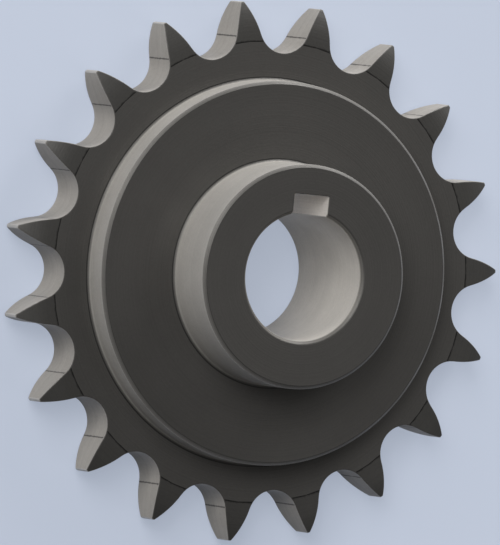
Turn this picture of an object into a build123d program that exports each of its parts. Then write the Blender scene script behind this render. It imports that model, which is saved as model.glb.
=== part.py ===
from build123d import *
from math import acos, atan2, cos, pi, radians, sin, sqrt
import os

# A sprocket wheel for a single roller chain, turned from one round steel blank and then
# milled: a toothed plate, a low step disc on it and a hub, with a keyed bore through all three.
# The back face lies on z = 0, the bore runs along Z, and the hub's nose points up.
# The keyway and one tooth gap lie towards +Y. All sizes are in millimetres.

# The chain that runs on the teeth
chain_pitch = 12.7
roller_diameter = 8.51

# Toothed plate
tooth_count = 19
plate_thickness = 7.2

# Step disc on the plate, and hub on the step disc
step_diameter = 60.0
step_height = 4.8
hub_diameter = 35.0
hub_height = 10.0

# Bore, and the keyway cut past its wall
bore_diameter = 20.0
keyway_width = 6.0
keyway_depth = 2.8
keyway_corner_radius = 0.2

# Edges that are broken, and inner corners that the turning tool leaves round
step_edge_chamfer = 0.5
hub_edge_chamfer = 0.5
bore_edge_chamfer = 0.5
step_root_fillet = 0.5
hub_root_fillet = 0.5

# Proportions of a roller chain tooth: the seat and the flank go by the roller's diameter,
# the tip and the side relief by the chain's pitch
seat_radius_factor = 0.505
seat_angle_limit = 140
seat_angle_drop = 90
flank_radius_factor = 0.12
flank_extra_teeth = 2
tip_rise_factor = 1.25
relief_depth_factor = 0.13
relief_radius_factor = 1.0

# Circles through the rollers' centres and around the tooth tips
pitch_radius = chain_pitch / (2 * sin(pi / tooth_count))
tip_radius = pitch_radius + (tip_rise_factor * chain_pitch - roller_diameter) / 2

# The roller's seat, a little larger than the roller, and the flanks that lead out of it
seat_radius = seat_radius_factor * roller_diameter
half_seat_angle = radians(seat_angle_limit - seat_angle_drop / tooth_count) / 2
flank_radius = flank_radius_factor * roller_diameter * (tooth_count + flank_extra_teeth)

# Each side of the plate curves away from this radius out to the tips
relief_depth = relief_depth_factor * chain_pitch
relief_radius = relief_radius_factor * chain_pitch
relief_start_radius = tip_radius - sqrt(2 * relief_radius * relief_depth - relief_depth**2)

step_radius = step_diameter / 2
hub_radius = hub_diameter / 2
bore_radius = bore_diameter / 2
step_top = plate_thickness + step_height
overall_length = step_top + hub_height

# One tooth gap in plan, with its middle on +X. The outline runs a little past the tip circle
gap_overrun = 0.2
gap_radius = tip_radius + gap_overrun
open_end = tip_radius + roller_diameter

roller_centre = Vector(pitch_radius, 0)
seat_bottom = Vector(pitch_radius - seat_radius, 0)
towards_tooth = Vector(-cos(half_seat_angle), sin(half_seat_angle))
seat_end = roller_centre + towards_tooth * seat_radius
flank_centre = seat_end + towards_tooth * flank_radius

# Where the flank's circle crosses the gap's outer circle, by the cosine rule
centre_distance = flank_centre.length
centre_bearing = atan2(flank_centre.Y, flank_centre.X)
squares = gap_radius**2 + centre_distance**2 - flank_radius**2
flank_end_bearing = centre_bearing - acos(squares / (2 * gap_radius * centre_distance))
flank_end = Vector(gap_radius * cos(flank_end_bearing), gap_radius * sin(flank_end_bearing))

with BuildSketch() as tooth_gap:
    with BuildLine():
        seat = ThreePointArc((seat_end.X, -seat_end.Y), seat_bottom, seat_end)
        flank = TangentArc(seat_end, flank_end, tangent=seat % 1)
        mirror(flank, about=Plane.XZ)
        Polyline(
            flank_end,
            (open_end, flank_end.Y),
            (open_end, -flank_end.Y),
            (flank_end.X, -flank_end.Y),
        )
    make_face()

with BuildSketch() as tooth_gaps:
    with PolarLocations(0, tooth_count, start_angle=90):
        add(tooth_gap.sketch)


def rim(turned, radius, height):
    """The round edge of a turned part that has this radius and lies at this height."""
    tolerance = 0.001
    circles = turned.edges().filter_by(GeomType.CIRCLE)
    level = circles.filter_by_position(Axis.Z, height - tolerance, height + tolerance)
    return level.filter_by(lambda edge: abs(edge.radius - radius) < tolerance)


with BuildPart() as sprocket:
    # The blank is turned: its half section is spun around the bore
    with BuildSketch(Plane.XZ) as half_section:
        with BuildLine():
            TangentArc(
                (relief_start_radius, 0),
                (tip_radius, relief_depth),
                tangent=(1, 0),
            )
            Line(
                (tip_radius, relief_depth),
                (tip_radius, plate_thickness - relief_depth),
            )
            TangentArc(
                (relief_start_radius, plate_thickness),
                (tip_radius, plate_thickness - relief_depth),
                tangent=(1, 0),
            )
            Polyline(
                (relief_start_radius, plate_thickness),
                (step_radius, plate_thickness),
                (step_radius, step_top),
                (hub_radius, step_top),
                (hub_radius, overall_length),
                (bore_radius, overall_length),
                (bore_radius, 0),
                (relief_start_radius, 0),
            )
        make_face()
    revolve(axis=Axis.Z)

    fillet(rim(sprocket, step_radius, plate_thickness), step_root_fillet)
    fillet(rim(sprocket, hub_radius, step_top), hub_root_fillet)
    chamfer(rim(sprocket, step_radius, step_top), step_edge_chamfer)
    chamfer(rim(sprocket, hub_radius, overall_length), hub_edge_chamfer)
    chamfer(rim(sprocket, bore_radius, overall_length), bore_edge_chamfer)
    chamfer(rim(sprocket, bore_radius, 0), bore_edge_chamfer)

    # The teeth are what the milled gaps leave of the plate's rim
    extrude(tooth_gaps.sketch, amount=plate_thickness, mode=Mode.SUBTRACT)

    # The keyway is broached through the whole length of the bore
    with BuildSketch() as keyway:
        Rectangle(
            keyway_width,
            bore_radius + keyway_depth,
            align=(Align.CENTER, Align.MIN),
        )
        fillet(keyway.vertices().group_by(Axis.Y)[-1], keyway_corner_radius)
    extrude(amount=overall_length, mode=Mode.SUBTRACT)

sprocket.part.label = "sprocket"

os.makedirs("parts", exist_ok=True)
export_step(sprocket.part, "parts/sprocket.step")
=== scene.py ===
import math

import bmesh
import bpy
from mathutils import Euler, Matrix, Vector


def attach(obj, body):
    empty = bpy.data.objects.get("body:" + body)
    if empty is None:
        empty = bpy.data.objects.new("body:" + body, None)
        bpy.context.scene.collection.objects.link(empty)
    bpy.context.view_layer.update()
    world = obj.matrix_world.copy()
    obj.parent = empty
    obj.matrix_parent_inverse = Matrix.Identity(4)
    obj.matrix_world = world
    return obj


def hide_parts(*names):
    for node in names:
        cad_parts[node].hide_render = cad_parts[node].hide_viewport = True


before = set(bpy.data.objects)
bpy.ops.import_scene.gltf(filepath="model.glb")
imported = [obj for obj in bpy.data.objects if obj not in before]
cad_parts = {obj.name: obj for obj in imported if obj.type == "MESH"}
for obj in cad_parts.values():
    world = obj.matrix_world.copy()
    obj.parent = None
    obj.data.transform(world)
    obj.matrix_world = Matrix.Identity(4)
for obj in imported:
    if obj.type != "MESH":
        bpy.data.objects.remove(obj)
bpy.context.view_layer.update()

scene = bpy.context.scene
scene.view_settings.view_transform = "Standard"


# The blank: one round bar of carbon steel, turned to its half section, so its faces
# carry the fine rings that the lathe tool leaves, and reamed smooth in the bore. Its bottom
# face lies on the bench and the bore stands upright on the origin.
mm = 0.001
plate_top = 7.2 * mm
step_top = 12 * mm
hub_top = 22 * mm
bore_radius = 10 * mm
hub_radius = 17.5 * mm
step_radius = 30 * mm
ring_radius = 33 * mm
corner_cut = 0.5 * mm
foot_steps = 6
chamfer_turn = math.radians(135)
turn_tolerance = math.radians(1)
edge_round = 0.06 * mm
edge_round_steps = 2
tooth_count = 19
spins_per_tooth = 18
upwards = Vector((0, 0, 1))

wheel = bmesh.new()
half_section = [
    (ring_radius, plate_top), (step_radius, plate_top), (step_radius, step_top),
    (hub_radius, step_top), (hub_radius, hub_top), (bore_radius, hub_top),
    (bore_radius, 0), (ring_radius, 0),
]
corners = [wheel.verts.new((0, radius, height)) for radius, height in half_section]
for start, end in zip(corners, corners[1:]):
    wheel.edges.new((start, end))


def cut_corners(vertices, size, steps):
    """Cuts corners off the half section: one step makes a chamfer, more make it round."""
    bmesh.ops.bevel(
        wheel, geom=vertices, offset=size, offset_type="OFFSET", segments=steps,
        profile=0.5, affect="VERTICES", material=-1,
    )


def is_chamfer_corner(vertex):
    """Whether a chamfer begins or ends at this corner of the half section."""
    if len(vertex.link_edges) != 2:
        return False
    ways = [edge.other_vert(vertex).co - vertex.co for edge in vertex.link_edges]
    return abs(ways[0].angle(ways[1]) - chamfer_turn) < turn_tolerance


# Painted shade and light: the steel is painted dark where it lies level and bright where it
# stands upright, standing in for the shading of the light. A slope here is the upward part of a
# surface's normal: 0 on a wall and 1 on a level face. The foot of a fillet, painted darker still
# as shade, lies between foot_slope and flat_slope.
shade_painted_face = (0.0574, 0.055, 0.0518)
light_painted_wall = (0.525, 0.5, 0.462)
upright_slope = 0.0
level_slope = 0.93
foot_slope = 0.93
flat_slope = 0.9999

# All the steel has marks, broad bands along them, a film of oil and a fine grain. These are
# their sizes, how far each changes the shade and the roughness, and the range of a noise.
band_size = 3 * mm
film_size = 9 * mm
grain_size = 0.4 * mm
mark_shade = 0.05
band_shade = 0.03
film_shade = 0.09
grain_shade = 0.05
noise_low = 0.25
noise_high = 0.75
film_polish = 0.15
mark_polish = 0.1
grain_height = 0.35
dull_gloss = 0.15


def add_node(tree, kind, settings, inputs):
    """Adds a shader node. An input that is another node's output is linked to it."""
    node = tree.nodes.new("ShaderNode" + kind)
    for key, value in settings.items():
        setattr(node, key, value)
    for key, value in inputs.items():
        if isinstance(value, bpy.types.NodeSocket):
            tree.links.new(value, node.inputs[key])
        else:
            node.inputs[key].default_value = value
    return node.outputs


def spread(tree, value, low, high):
    """Turns a noise, which keeps near its middle, into a share from low to high."""
    return add_node(
        tree, "MapRange", {},
        {
            "Value": value, "From Min": noise_low, "From Max": noise_high,
            "To Min": low, "To Max": high,
        },
    )["Result"]


def cut_steel(
    name, marks_way, mark_size, mark_depth, roughness, wall=light_painted_wall, face=shade_painted_face,
    metal=0.3, foot_painted_shade=1.0,
):
    """Steel with the marks of a tool, with painted shade where it lies level and painted light
    where it is upright.

    marks_way(tree, place) gives a length that stays the same along each mark. The last
    argument is the shade painted into the foot of a fillet, where shade falls, and 1 paints none.
    """
    material = bpy.data.materials.new(name)
    material.use_nodes = True
    tree = material.node_tree
    shader = tree.nodes["Principled BSDF"]
    where = add_node(tree, "TexCoord", {}, {})
    place = where["Object"]
    way = marks_way(tree, place)
    marks = add_node(
        tree, "TexNoise", {"noise_dimensions": "1D"},
        {"W": way, "Scale": 1 / mark_size, "Detail": 3.0, "Roughness": 0.65},
    )["Fac"]
    bands = add_node(
        tree, "TexNoise", {"noise_dimensions": "1D"},
        {"W": way, "Scale": 1 / band_size, "Detail": 1.0, "Roughness": 0.5},
    )["Fac"]
    film = add_node(
        tree, "TexNoise", {},
        {"Vector": place, "Scale": 1 / film_size, "Detail": 4.0, "Roughness": 0.55},
    )["Fac"]
    grain = add_node(
        tree, "TexNoise", {},
        {"Vector": place, "Scale": 1 / grain_size, "Detail": 2.0, "Roughness": 0.6},
    )["Fac"]

    def product(one, other):
        return add_node(tree, "Math", {"operation": "MULTIPLY"}, {0: one, 1: other})["Value"]

    # The colour is painted shade where the steel lies level and painted light where it stands
    # upright, mixed by slope
    facing = add_node(tree, "SeparateXYZ", {}, {"Vector": where["Normal"]})["Z"]
    slope = add_node(tree, "Math", {"operation": "ABSOLUTE"}, {0: facing})["Value"]
    level = add_node(
        tree, "MapRange", {"interpolation_type": "SMOOTHSTEP"},
        {"Value": slope, "From Min": upright_slope, "From Max": level_slope},
    )["Result"]
    color = add_node(
        tree, "Mix", {"data_type": "RGBA"},
        {0: level, 6: (*wall, 1), 7: (*face, 1)},
    )[2]
    # Painted shade in the foot of a fillet, where shade falls in the corner
    foot = product(
        add_node(tree, "Math", {"operation": "GREATER_THAN"}, {0: slope, 1: foot_slope})["Value"],
        add_node(tree, "Math", {"operation": "LESS_THAN"}, {0: slope, 1: flat_slope})["Value"],
    )
    foot_shade = add_node(
        tree, "Math", {"operation": "MULTIPLY_ADD"}, {0: foot, 1: foot_painted_shade - 1, 2: 1.0}
    )["Value"]
    tool_shade = product(
        spread(tree, marks, 1 - mark_shade, 1 + mark_shade),
        spread(tree, bands, 1 - band_shade, 1 + band_shade),
    )
    oil_shade = product(
        spread(tree, film, 1 - film_shade, 1 + film_shade),
        spread(tree, grain, 1 - grain_shade, 1 + grain_shade),
    )
    shade = product(product(tool_shade, oil_shade), foot_shade)
    tinted = add_node(
        tree, "VectorMath", {"operation": "SCALE"}, {"Vector": color, "Scale": shade}
    )["Vector"]
    tree.links.new(tinted, shader.inputs["Base Color"])
    polish = product(
        spread(tree, film, roughness * (1 + film_polish), roughness * (1 - film_polish)),
        spread(tree, marks, 1 + mark_polish, 1 - mark_polish),
    )
    tree.links.new(polish, shader.inputs["Roughness"])
    shader.inputs["Metallic"].default_value = metal
    shader.inputs["Specular IOR Level"].default_value = dull_gloss
    height = add_node(
        tree, "Math", {"operation": "MULTIPLY_ADD"}, {0: grain, 1: grain_height, 2: marks}
    )["Value"]
    relief = add_node(
        tree, "Bump", {}, {"Height": height, "Distance": mark_depth, "Strength": 1.0}
    )["Normal"]
    tree.links.new(relief, shader.inputs["Normal"])
    return material


def axis_distance(tree, place):
    """How far a place is from the bore's axis."""
    parts = add_node(tree, "SeparateXYZ", {}, {"Vector": place})
    flat = add_node(tree, "CombineXYZ", {}, {"X": parts["X"], "Y": parts["Y"]})["Vector"]
    return add_node(tree, "VectorMath", {"operation": "LENGTH"}, {"Vector": flat})["Value"]


def lathe_rings(tree, place):
    """Rings around the bore: distance from the axis less the height."""
    radius = axis_distance(tree, place)
    height = add_node(tree, "SeparateXYZ", {}, {"Vector": place})["Z"]
    return add_node(tree, "Math", {"operation": "SUBTRACT"}, {0: radius, 1: height})["Value"]


# The turned steel is painted darker in the feet of its fillets, as painted shade
turned_steel = cut_steel(
    "turned_steel", lathe_rings, mark_size=0.3 * mm, mark_depth=0.02 * mm, roughness=0.45,
    foot_painted_shade=0.35,
)
# The bore's wall is painted lighter than the other walls, as painted light where the bore's own
# shade falls
bore_painted_light = (0.53, 0.502, 0.46)
reamed_steel = cut_steel(
    "reamed_steel", lathe_rings, mark_size=0.3 * mm, mark_depth=0.02 * mm, roughness=0.4,
    wall=bore_painted_light, metal=0.1,
)

# Each face of the wheel is numbered by the tool that cut it
by_lathe, by_reamer, by_form_tool, by_hob, by_broach, by_file = range(6)

step_foot, step_edge, hub_foot, hub_edge, bore_front, bore_back = corners[1:-1]
cut_corners([step_foot, hub_foot], corner_cut, foot_steps)
cut_corners([step_edge, hub_edge, bore_front, bore_back], corner_cut, 1)
bore_reach = bore_radius + 2 * corner_cut
chamfer_corners = [v for v in wheel.verts if is_chamfer_corner(v)]
outer_corners = [v for v in chamfer_corners if v.co.y > bore_reach]
cut_corners(outer_corners, edge_round, edge_round_steps)
bmesh.ops.spin(
    wheel, geom=wheel.verts[:] + wheel.edges[:], cent=(0, 0, 0), axis=upwards,
    angle=math.tau, steps=tooth_count * spins_per_tooth, use_merge=True,
)
for face in wheel.faces:
    if face.calc_center_median().xy.length < bore_radius + corner_cut / 5:
        face.material_index = by_reamer


# The teeth: the hob leaves a round seat for each roller of the chain and a curved flank on
# either side of it. Beside them the lathe has relieved both sides of the rim, so that the
# teeth grow thinner towards their tips and the chain's plates slip over them.
chain_pitch = 12.7 * mm
roller_diameter = 8.51 * mm
seat_radius_factor = 0.505
seat_angle_limit = 140
seat_angle_drop = 90
flank_radius_factor = 0.12
flank_extra_teeth = 2
tip_rise_factor = 1.25
relief_depth_factor = 0.13

seat_radius = seat_radius_factor * roller_diameter
seat_half_angle = math.radians(seat_angle_limit - seat_angle_drop / tooth_count) / 2
flank_radius = flank_radius_factor * roller_diameter * (tooth_count + flank_extra_teeth)
pitch_radius = chain_pitch / (2 * math.sin(math.pi / tooth_count))
tip_radius = pitch_radius + (tip_rise_factor * chain_pitch - roller_diameter) / 2
relief_depth = relief_depth_factor * chain_pitch
relief_radius = chain_pitch
relief_start = tip_radius - math.sqrt(2 * relief_radius * relief_depth - relief_depth**2)
half_pitch = math.pi / tooth_count
seat_steps = 8
rise_steps = 2
flank_steps = 8
weld = 0.001 * mm


def triangle_angle(opposite, side, other_side):
    """The angle of a triangle that faces its opposite side."""
    return math.acos((side**2 + other_side**2 - opposite**2) / (2 * side * other_side))


line_unevenness = 0.6
unevenness_size = 0.7 * mm


def mark_line(steel, radius, reach, shade):
    """Draws a fine dark line around the bore, where one cut meets the next.

    It fades out over its reach to either side, and the reach varies along the line.
    """
    tree = steel.node_tree
    place = tree.nodes["Texture Coordinate"].outputs["Object"]
    color = tree.nodes["Principled BSDF"].inputs["Base Color"]
    apart = add_node(
        tree, "Math", {"operation": "SUBTRACT"}, {0: axis_distance(tree, place), 1: radius}
    )["Value"]
    apart = add_node(tree, "Math", {"operation": "ABSOLUTE"}, {0: apart})["Value"]
    unevenness = add_node(
        tree, "TexNoise", {}, {"Vector": place, "Scale": 1 / unevenness_size, "Detail": 3.0}
    )["Fac"]
    uneven_reach = spread(
        tree, unevenness, (1 - line_unevenness) * reach, (1 + line_unevenness) * reach
    )
    line_shade = add_node(
        tree, "MapRange", {"interpolation_type": "SMOOTHSTEP"},
        {"Value": apart, "From Max": uneven_reach, "To Min": shade, "To Max": 1},
    )["Result"]
    lined = add_node(
        tree, "VectorMath", {"operation": "SCALE"},
        {"Vector": color.links[0].from_socket, "Scale": line_shade},
    )["Vector"]
    tree.links.new(lined, color)


# The relief is cut by a form tool, and its level face is painted a little darker than the
# plate's, as painted shade
relief_painted_shade = (0.047, 0.0453, 0.0426)
relieved_steel = cut_steel(
    "relieved_steel", lathe_rings, mark_size=0.5 * mm, mark_depth=0.03 * mm, roughness=0.45,
    face=relief_painted_shade,
)
mark_line(relieved_steel, relief_start, reach=0.3 * mm, shade=0.2)

# Half of one gap is drawn on top of the plate, from the middle of the gap, which lies on +Y,
# to the middle of the tooth beside it
tooth = bmesh.new()


def draw_arc(start, centre, angle, steps):
    """Draws an arc from a vertex, and returns its edges and its last vertex."""
    before = set(tooth.edges)
    turned = bmesh.ops.spin(
        tooth, geom=[start], cent=centre, axis=upwards, angle=angle, steps=steps,
        use_merge=False,
    )
    last = next(g for g in turned["geom_last"] if isinstance(g, bmesh.types.BMVert))
    return [edge for edge in tooth.edges if edge not in before], last


def reaches(part, radius):
    """Whether all corners of an edge or a face lie at this radius from the bore's axis."""
    return all(abs(vertex.co.xy.length - radius) < weld for vertex in part.verts)


roller_centre = Vector((0, pitch_radius, 0))
away = Matrix.Rotation(seat_half_angle, 3, upwards) @ Vector((0, -1, 0))
flank_centre = roller_centre + away * (seat_radius + flank_radius)
flank_reach = flank_centre.length
seat_reach = (roller_centre + away * seat_radius).length
relief_angle = triangle_angle(relief_start, pitch_radius, seat_radius)
flank_angle = triangle_angle(tip_radius, flank_reach, flank_radius)
flank_angle -= triangle_angle(seat_reach, flank_reach, flank_radius)

gap_middle = tooth.verts.new((0, pitch_radius - seat_radius, plate_top))
seat, seat_crease = draw_arc(gap_middle, roller_centre, relief_angle, seat_steps)
rise_angle = seat_half_angle - relief_angle
rise, seat_end = draw_arc(seat_crease, roller_centre, rise_angle, rise_steps)
flank, _ = draw_arc(seat_end, flank_centre, -flank_angle, flank_steps)

# The relieved side of the tooth is swept from the flank to the tooth's middle
relieved = bmesh.ops.extrude_edge_only(tooth, edges=rise + flank)["geom"]
for part in relieved:
    if isinstance(part, bmesh.types.BMVert):
        bearing = math.atan2(part.co.x, part.co.y)
        part.co.rotate(Matrix.Rotation(bearing - half_pitch, 3, upwards))
for face in tooth.faces:
    face.material_index = by_form_tool
crease_edges = [e for e in tooth.edges if reaches(e, relief_start)]
tip_edges = [e for e in tooth.edges if reaches(e, tip_radius)]
ring_start = tooth.verts.new((0, ring_radius, plate_top))
ring, _ = draw_arc(ring_start, (0, 0, 0), -half_pitch, spins_per_tooth // 2)
level_faces = bmesh.ops.bridge_loops(tooth, edges=ring + seat + crease_edges)["faces"]
for face in level_faces:
    face.material_index = by_lathe
for vertex in tooth.verts:
    outwards = max(0, vertex.co.xy.length - relief_start)
    vertex.co.z -= relief_radius - math.sqrt(relief_radius**2 - outwards**2)


def hob_marks(tree, place):
    """Marks across the teeth's walls, one above the other."""
    return add_node(tree, "SeparateXYZ", {}, {"Vector": place})["Z"]


# The teeth's walls are painted light too, a little dimmer than the other walls
hob_wall_painted_light = (0.388, 0.363, 0.329)
hobbed_steel = cut_steel(
    "hobbed_steel", hob_marks, mark_size=0.6 * mm, mark_depth=0.05 * mm, roughness=0.5,
    wall=hob_wall_painted_light, metal=0.1,
)
mark_line(hobbed_steel, seat_reach, reach=0.19 * mm, shade=0.2)

# The walls run down to the middle of the plate, then everything is mirrored and repeated
walls = bmesh.ops.extrude_edge_only(tooth, edges=seat + rise + flank + tip_edges)["geom"]
for part in walls:
    if isinstance(part, bmesh.types.BMVert):
        part.co.z = plate_top / 2
    if isinstance(part, bmesh.types.BMFace):
        on_tip = reaches(part, tip_radius)
        part.material_index = by_lathe if on_tip else by_hob


def all_of(mesh):
    """Every vertex, edge and face of a mesh."""
    return mesh.verts[:] + mesh.edges[:] + mesh.faces[:]


def in_order(mesh):
    """Builds a mesh anew with its vertices and faces in order of place.

    Operators may leave them in another order on each run, and the next ones heed the order.
    """
    places = sorted(mesh.verts, key=lambda vertex: tuple(vertex.co))
    rank = {vertex: number for number, vertex in enumerate(places)}
    outlines = []
    for face in mesh.faces:
        outline = [rank[vertex] for vertex in face.verts]
        first = outline.index(min(outline))
        outlines.append((outline[first:] + outline[:first], face.material_index))
    ordered = bmesh.new()
    vertices = [ordered.verts.new(vertex.co) for vertex in places]
    for outline, tool in sorted(outlines):
        ordered.faces.new([vertices[number] for number in outline]).material_index = tool
    ordered.normal_update()
    mesh.free()
    return ordered


middle_plane = Matrix.Translation((0, 0, -plate_top / 2))
bmesh.ops.mirror(tooth, geom=all_of(tooth), matrix=middle_plane, axis="Z", merge_dist=weld)
bmesh.ops.mirror(tooth, geom=all_of(tooth), matrix=Matrix(), axis="X", merge_dist=weld)
bmesh.ops.spin(
    tooth, geom=all_of(tooth), cent=(0, 0, 0), axis=upwards,
    angle=math.tau * (tooth_count - 1) / tooth_count, steps=tooth_count - 1,
    use_duplicate=True,
)
wheel_mesh = bpy.data.meshes.new("wheel")
tooth.to_mesh(wheel_mesh)
tooth.free()
wheel.from_mesh(wheel_mesh)
bmesh.ops.remove_doubles(wheel, verts=wheel.verts, dist=weld)
wheel = in_order(wheel)
bmesh.ops.recalc_face_normals(wheel, faces=wheel.faces)
wheel.to_mesh(wheel_mesh)
wheel.free()


# The keyway: a broach is pulled through the bore and cuts the slot for a square key, in line
# with the middle of a gap. Its inner corners are a little round.
keyway_width = 6 * mm
keyway_reach = 12.8 * mm
keyway_corner = 0.2 * mm
keyway_corner_steps = 4

broach = bmesh.new()
broach_size = Matrix.Diagonal((keyway_width, keyway_reach, 2 * hub_top, 1))
broach_place = Matrix.Translation((0, keyway_reach / 2, hub_top / 2))
bmesh.ops.create_cube(broach, size=1, matrix=broach_place @ broach_size)
far_edges = [
    e for e in broach.edges
    if all(v.co.y > keyway_reach / 2 for v in e.verts) and e.calc_length() > hub_top
]
bmesh.ops.bevel(
    broach, geom=far_edges, offset=keyway_corner, offset_type="OFFSET",
    segments=keyway_corner_steps, profile=0.5, affect="EDGES", material=-1,
)
broach_mesh = bpy.data.meshes.new("broach")
broach.to_mesh(broach_mesh)
broach.free()


def broach_marks(tree, place):
    """Marks straight along the bore, side by side across each wall of the keyway."""
    parts = add_node(tree, "SeparateXYZ", {}, {"Vector": place})
    return add_node(tree, "Math", {"operation": "ADD"}, {0: parts["X"], 1: parts["Y"]})["Value"]


# The keyway's walls are painted much lighter, as painted light where the slot's own shadow falls
keyway_painted_light = (0.82, 0.775, 0.72)
broached_steel = cut_steel(
    "broached_steel", broach_marks, mark_size=0.3 * mm, mark_depth=0.03 * mm, roughness=0.38,
    wall=keyway_painted_light,
)
filed_steel = cut_steel(
    "filed_steel", hob_marks, mark_size=0.5 * mm, mark_depth=0.02 * mm, roughness=0.4,
)
steels = (
    turned_steel, reamed_steel, relieved_steel, hobbed_steel, broached_steel, filed_steel,
)
for steel in steels:
    wheel_mesh.materials.append(steel)
broach_mesh.materials.append(broached_steel)

wheel_piece = bpy.data.objects.new("wheel", wheel_mesh)
scene.collection.objects.link(wheel_piece)
broach_tool = bpy.data.objects.new("broach", broach_mesh)
scene.collection.objects.link(broach_tool)
cut = wheel_piece.modifiers.new("keyway", "BOOLEAN")
cut.operation = "DIFFERENCE"
cut.solver = "EXACT"
cut.object = broach_tool
depsgraph = bpy.context.evaluated_depsgraph_get()
wheel_piece.data = bpy.data.meshes.new_from_object(wheel_piece.evaluated_get(depsgraph))
wheel_piece.modifiers.clear()
bpy.data.objects.remove(broach_tool)


# The edges: a file and a brush have broken every sharp edge of the teeth, the bore and the
# keyway. Their strips are painted by slope like the rest of the steel, between the painted shade
# of a level face and the painted light of a wall.
edge_break = 0.15 * mm
edge_break_steps = 3
sharp_edge = math.radians(40)
sharp_crease = math.radians(35)
flat_enough = math.radians(0.05)
level_normal = 0.99999
upright_normal = 0.0001
file_clearance = 1.1

wheel = bmesh.new()
wheel.from_mesh(wheel_piece.data)
wheel = in_order(wheel)
bmesh.ops.dissolve_limit(
    wheel, angle_limit=flat_enough, verts=wheel.verts, edges=wheel.edges,
    use_dissolve_boundaries=False, delimit={"MATERIAL"},
)


def is_sharp(edge):
    """Whether an edge stands out sharply, so that the file breaks it."""
    return edge.is_convex and edge.calc_face_angle() > sharp_edge


# The file's work on the keyway's edges ends at this bearing in the bore
keyway_border = math.asin(keyway_width / 2 / bore_radius)
keyway_border += file_clearance * edge_break / bore_radius


def is_narrow(edge):
    """Whether an edge is a facet's border in the bore, within the file's reach of the keyway."""
    if is_sharp(edge) or max(v.co.xy.length for v in edge.verts) > bore_reach:
        return False
    return all(
        keyway_width / 2 - weld < abs(v.co.x) and abs(math.atan2(v.co.x, v.co.y)) < keyway_border
        for v in edge.verts
    )


# The facets of the bore beside the keyway are made wide enough for its broken edges
narrow = [e for e in wheel.edges if is_narrow(e)]
bmesh.ops.dissolve_edges(wheel, edges=narrow, use_verts=True, use_face_split=False)
sharp = [e for e in wheel.edges if is_sharp(e)]
broken = bmesh.ops.bevel(
    wheel, geom=sharp, offset=edge_break, offset_type="OFFSET", segments=edge_break_steps,
    profile=0.5, affect="EDGES", loop_slide=False, clamp_overlap=False, material=-1,
)
strips = set(broken["faces"])
for face in strips:
    face.material_index = by_file


def lie(face):
    """How a face lies: level, upright, on a broken edge, or curved from one to another."""
    if face in strips:
        return "broken"
    if abs(face.normal.z) > level_normal:
        return "level"
    if abs(face.normal.z) < upright_normal:
        return "upright"
    return "between"


wheel.normal_update()
for face in wheel.faces:
    face.smooth = True
for edge in wheel.edges:
    one, other = edge.link_faces
    edge.smooth = lie(one) == lie(other)
    if lie(one) != "broken" and edge.calc_face_angle() > sharp_crease:
        edge.smooth = False
wheel.to_mesh(wheel_piece.data)
wheel.free()
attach(wheel_piece, "root")
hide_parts("sprocket")


# The bench: a plain sheet with matt paint that the wheel lies on. It glows a pale blue to the
# camera and in the steel, and its paint takes the wheel's shadow.
bench_size = 4.0
bench_paint = (0.19, 0.202, 0.23)
bench_glow = (0.73, 0.82, 1.0)
bench_glow_level = 0.45

bench = bmesh.new()
bmesh.ops.create_grid(bench, x_segments=1, y_segments=1, size=bench_size / 2)
bench_mesh = bpy.data.meshes.new("bench")
bench.to_mesh(bench_mesh)
bench.free()
bench_sheet = bpy.data.objects.new("bench", bench_mesh)
scene.collection.objects.link(bench_sheet)

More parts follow.
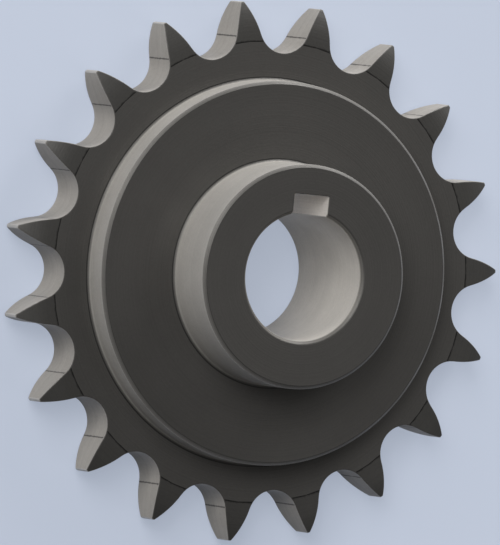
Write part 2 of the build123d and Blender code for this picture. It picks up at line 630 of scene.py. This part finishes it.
paint = bpy.data.materials.new("bench_paint")
paint.use_nodes = True
coat = paint.node_tree
coat.nodes.clear()
matt = add_node(coat, "BsdfDiffuse", {}, {"Color": (*bench_paint, 1)})["BSDF"]
ray = add_node(coat, "LightPath", {}, {})
seen = add_node(
    coat, "Math", {"operation": "MAXIMUM"}, {0: ray["Is Camera Ray"], 1: ray["Is Glossy Ray"]}
)["Value"]
seen = add_node(
    coat, "Math", {"operation": "MAXIMUM"}, {0: seen, 1: ray["Is Transmission Ray"]}
)["Value"]
strength = add_node(
    coat, "Math", {"operation": "MULTIPLY"}, {0: seen, 1: bench_glow_level}
)["Value"]
glow = add_node(
    coat, "Emission", {}, {"Color": (*bench_glow, 1), "Strength": strength}
)["Emission"]
both = add_node(coat, "AddShader", {}, {0: matt, 1: glow})["Shader"]
add_node(coat, "OutputMaterial", {}, {"Surface": both})
bench_mesh.materials.append(paint)


# The light: five soft boxes. Two stand high on the picture's upper left and light the walls
# there, two low ones on its right graze the level faces and catch the chamfers, and a weak
# one fills in from its lower right. All of them stand off by the same distance.
lamp_distance = 1.6
room_tint = (0.9, 0.95, 1)
room_level = 0.02


def softbox(name, bearing, height, size, watts):
    """A square lamp that faces the wheel. Its bearing and height are angles in degrees."""
    lamp = bpy.data.lights.new(name, "AREA")
    lamp.shape = "RECTANGLE"
    lamp.size = size
    lamp.size_y = size
    lamp.energy = watts
    box = bpy.data.objects.new(name, lamp)
    turn, lift = math.radians(bearing), math.radians(height)
    flat = math.cos(lift)
    way = Vector((math.cos(turn) * flat, math.sin(turn) * flat, math.sin(lift)))
    box.location = Vector((0, 0, plate_top)) + way * lamp_distance
    box.visible_camera = False
    box.rotation_mode = "QUATERNION"
    box.rotation_quaternion = way.to_track_quat("Z", "Y")
    scene.collection.objects.link(box)


softbox("key", bearing=140, height=40, size=1.0, watts=18.5)
softbox("high", bearing=160, height=62, size=0.8, watts=10)
softbox("side", bearing=60, height=15, size=0.8, watts=21.5)
softbox("right", bearing=33, height=15, size=0.8, watts=6)
softbox("fill", bearing=330, height=40, size=0.8, watts=2.5)
room = bpy.data.worlds.new("room")
room.use_nodes = True
room_light = room.node_tree.nodes["Background"].inputs
room_light["Color"].default_value = (*room_tint, 1)
room_light["Strength"].default_value = room_level
scene.world = room


# The camera: it stands far off with a long lens, because the picture has no perspective to
# speak of, and looks down on the wheel from the side of -X. Its turn and its offset along its
# own axes are fitted to the picture.
camera_data = bpy.data.cameras.new("camera")
camera_data.sensor_width = 36
camera_data.lens = 1200
camera_data.clip_end = 10
camera = bpy.data.objects.new("camera", camera_data)
camera_turn = Euler((math.radians(-3.472), math.radians(-26.971), math.radians(6.309)))
camera_offset = Vector((1.546 * mm, -0.483 * mm, 2840.4 * mm))
camera.rotation_euler = camera_turn
camera.location = camera_turn.to_matrix() @ camera_offset
scene.collection.objects.link(camera)
scene.camera = camera
